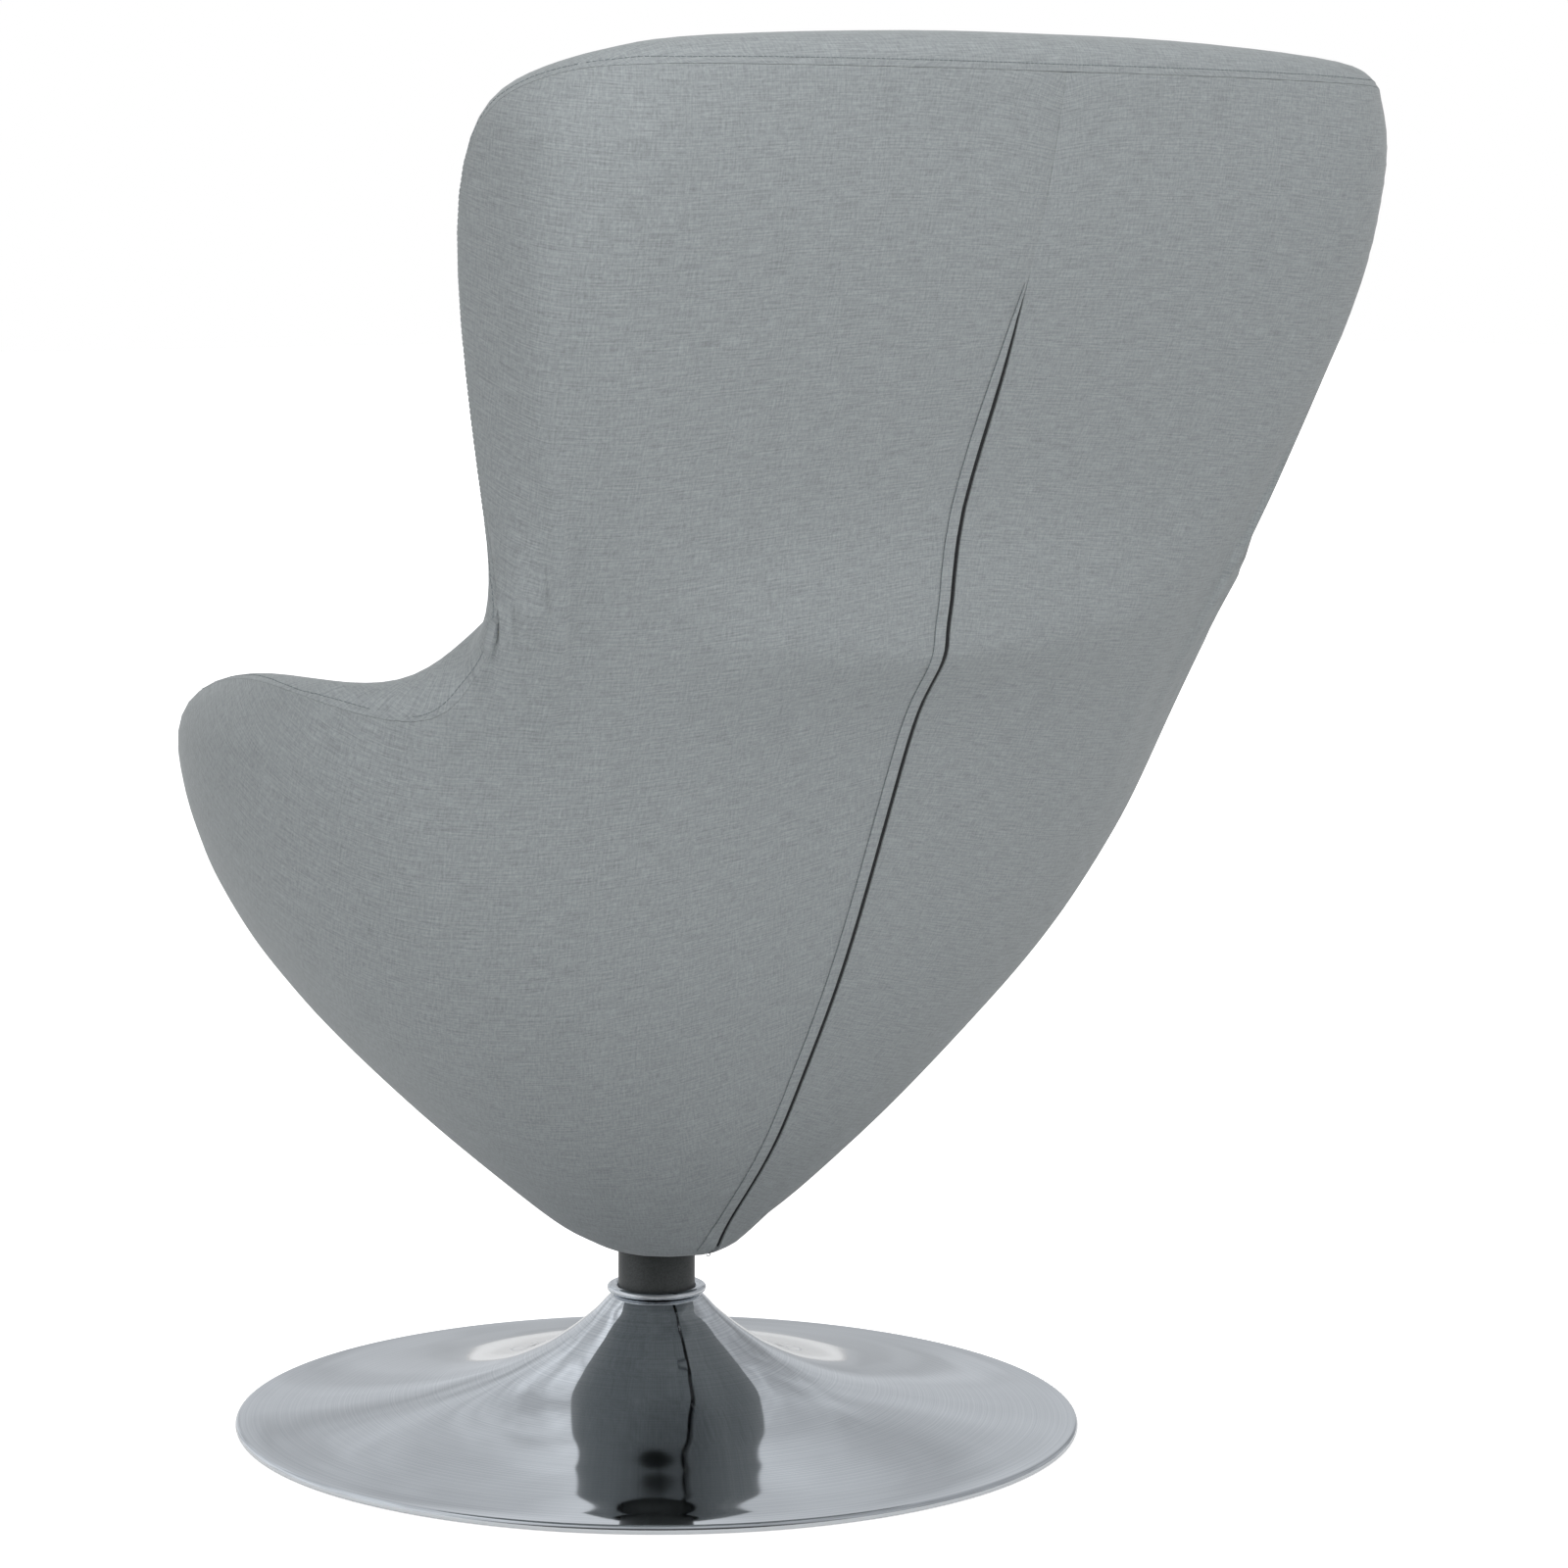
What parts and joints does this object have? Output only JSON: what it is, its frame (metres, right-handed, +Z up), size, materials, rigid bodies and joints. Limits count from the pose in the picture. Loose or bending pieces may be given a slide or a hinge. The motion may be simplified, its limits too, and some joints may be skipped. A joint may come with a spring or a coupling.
{
  "type": "lounge chair",
  "caption": "Upholstered egg-shaped wing lounge chair with a zip down its back, turning on a column in a round chrome trumpet base",
  "frame": {"origin": "on the floor, on the swivel axis, at the centre of the base's underside", "axes": "+Z up along the swivel axis; the seat faces -Y and the back leans towards +Y; +X is the sitter's left side"},
  "size_m": [0.8326, 0.7695, 1.0639],
  "materials": {
    "floor_felt": "dense black felt",
    "zinc_steel": "zinc-plated",
    "bright_chrome": "mirror chrome",
    "satin_black": "satin black powder coat",
    "bearing_plastic": "natural acetal",
    "glass_fibre": "glass-fibre laminate",
    "moulded_foam": "cold-cured polyurethane foam",
    "grey_cloth": "blue-grey linen-look weave",
    "zip_nylon": "black nylon"
  },
  "bodies": {
    "base": {"floor_pad": "floor_felt", "base_plate": "zinc_steel", "base_bolt": "zinc_steel", "base_washer": "zinc_steel", "trumpet": "bright_chrome", "neck_ring": "bright_chrome", "column_tube": "satin_black", "column_plug": "zinc_steel", "upper_bush": "bearing_plastic", "lower_bush": "bearing_plastic", "thrust_washer": "bearing_plastic"},
    "seat": {"seat_plate": "satin_black", "spindle": "zinc_steel", "spindle_washer": "zinc_steel", "spindle_bolt": "zinc_steel", "seat_bolt_1": "zinc_steel", "seat_bolt_2": "zinc_steel", "seat_bolt_3": "zinc_steel", "seat_bolt_4": "zinc_steel", "shell_nut_1": "zinc_steel", "shell_nut_2": "zinc_steel", "shell_nut_3": "zinc_steel", "shell_nut_4": "zinc_steel", "core_shell": "glass_fibre", "moulded_foam": "moulded_foam", "inner_lining": "grey_cloth", "rear_cover_left": "grey_cloth", "rear_cover_right": "grey_cloth", "zip_chain": "zip_nylon"},
    "cushion": {"seat_cushion": "grey_cloth"},
    "slider": {"zip_slider": "zip_nylon"},
    "pull": {"zip_pull": "zinc_steel"}
  },
  "joints": [
    {"name": "swivel", "type": "hinge", "parent": "base", "child": "seat", "pos_m": [0, 0, 0.155], "axis": [0, 0, 1], "continuous": true},
    {"name": "cushion_lift", "type": "slide", "parent": "seat", "child": "cushion", "axis": [0, 0, 1], "range_m": [0, 0.3]},
    {"name": "zip_run", "type": "hinge", "parent": "seat", "child": "slider", "pos_m": [0, -0.62691, 0.74818], "axis": [1, 0, 0], "range_deg": [0, 20]},
    {"name": "pull_swing", "type": "hinge", "parent": "slider", "child": "pull", "pos_m": [0, 0.06231, 0.14603], "axis": [1, 0, 0], "range_deg": [-25, 90]}
  ]
}
